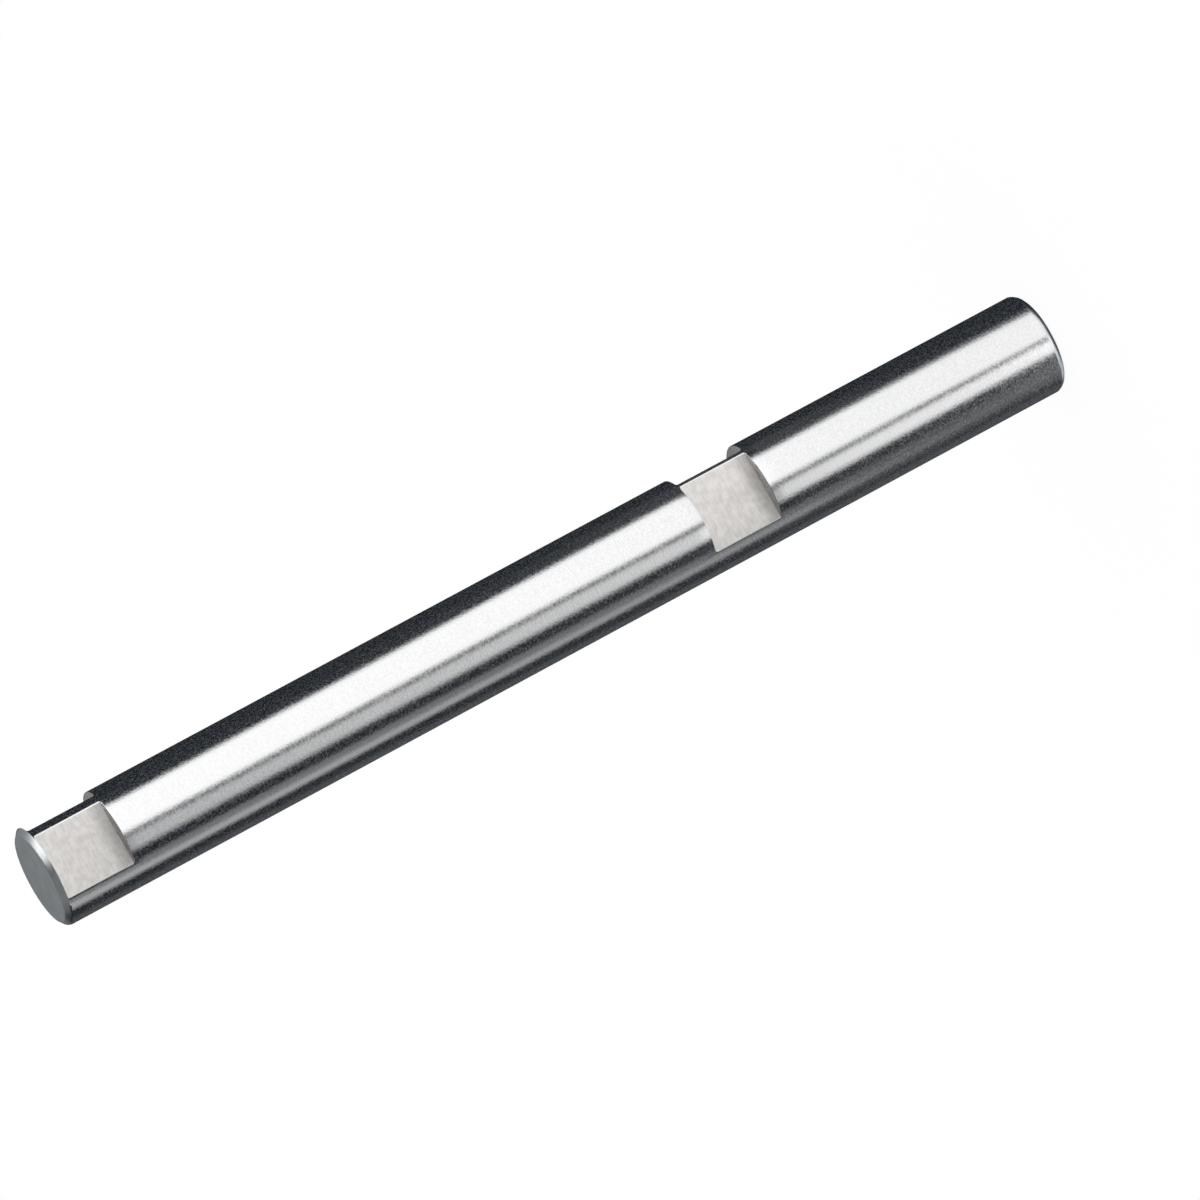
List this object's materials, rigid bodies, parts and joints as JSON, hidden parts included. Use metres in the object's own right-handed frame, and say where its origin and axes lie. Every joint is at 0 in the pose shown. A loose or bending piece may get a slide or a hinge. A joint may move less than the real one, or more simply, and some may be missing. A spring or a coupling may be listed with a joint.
{
  "type": "main shaft",
  "caption": "Plain round steel shaft with ground flats at right angles near one end and along its length, for set screws, and a thin lip at that end.",
  "frame": {"origin": "centre of the plain end face, on which the shaft stands", "axes": "+Z along the shaft towards the end with the lip, -Y out of the front flats, +X out of the right-hand flats"},
  "size_m": [0.005, 0.005, 0.0544],
  "materials": {
    "ground_steel": "bright ground bar with matt flats"
  },
  "bodies": {
    "root": {"main_shaft": "ground_steel"}
  },
  "joints": []
}
